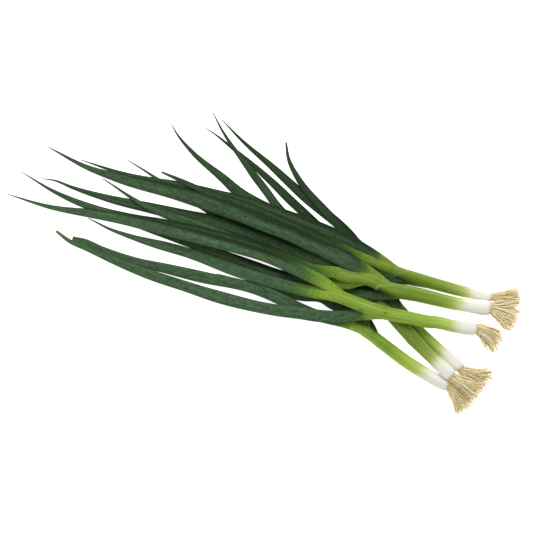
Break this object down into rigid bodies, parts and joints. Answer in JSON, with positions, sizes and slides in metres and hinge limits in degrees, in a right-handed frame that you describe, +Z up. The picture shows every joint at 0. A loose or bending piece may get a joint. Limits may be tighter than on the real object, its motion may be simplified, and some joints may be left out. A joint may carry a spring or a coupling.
{
  "type": "spring onion bunch",
  "caption": "Bunch of fresh spring onions lying loosely crossed, with white ends, trimmed straw-coloured roots, green false stems and long tapering hollow leaves.",
  "frame": {"origin": "middle of the bunch's box, on the surface that it lies on", "axes": "+Z up; +X along the bunch towards the roots; +Y across it, towards the side where the leaves fan out furthest"},
  "size_m": [0.4746, 0.1919, 0.0292],
  "materials": {
    "onion_shank": "smooth waxy skin, white at the root end, then yellow-green, then mid green, with fine lengthwise veins",
    "onion_leaf": "satin dark green leaf with a bluish waxy bloom and fine lengthwise veins",
    "onion_roots": "dry matt straw-coloured root fibres"
  },
  "bodies": {
    "root": {"onion_1_shank": "onion_shank", "onion_1_leaf_1": "onion_leaf", "onion_1_leaf_2": "onion_leaf", "onion_1_leaf_3": "onion_leaf", "onion_1_roots": "onion_roots", "onion_2_shank": "onion_shank", "onion_2_leaf_1": "onion_leaf", "onion_2_leaf_2": "onion_leaf", "onion_2_leaf_3": "onion_leaf", "onion_2_leaf_4": "onion_leaf", "onion_2_roots": "onion_roots", "onion_3_shank": "onion_shank", "onion_3_leaf_1": "onion_leaf", "onion_3_leaf_2": "onion_leaf", "onion_3_leaf_3": "onion_leaf", "onion_3_roots": "onion_roots", "onion_4_shank": "onion_shank", "onion_4_leaf_1": "onion_leaf", "onion_4_leaf_2": "onion_leaf", "onion_4_leaf_3": "onion_leaf", "onion_4_roots": "onion_roots", "onion_5_shank": "onion_shank", "onion_5_leaf_1": "onion_leaf", "onion_5_leaf_2": "onion_leaf", "onion_5_roots": "onion_roots", "onion_6_shank": "onion_shank", "onion_6_leaf_1": "onion_leaf", "onion_6_leaf_2": "onion_leaf", "onion_6_leaf_3": "onion_leaf", "onion_6_roots": "onion_roots"}
  },
  "joints": []
}
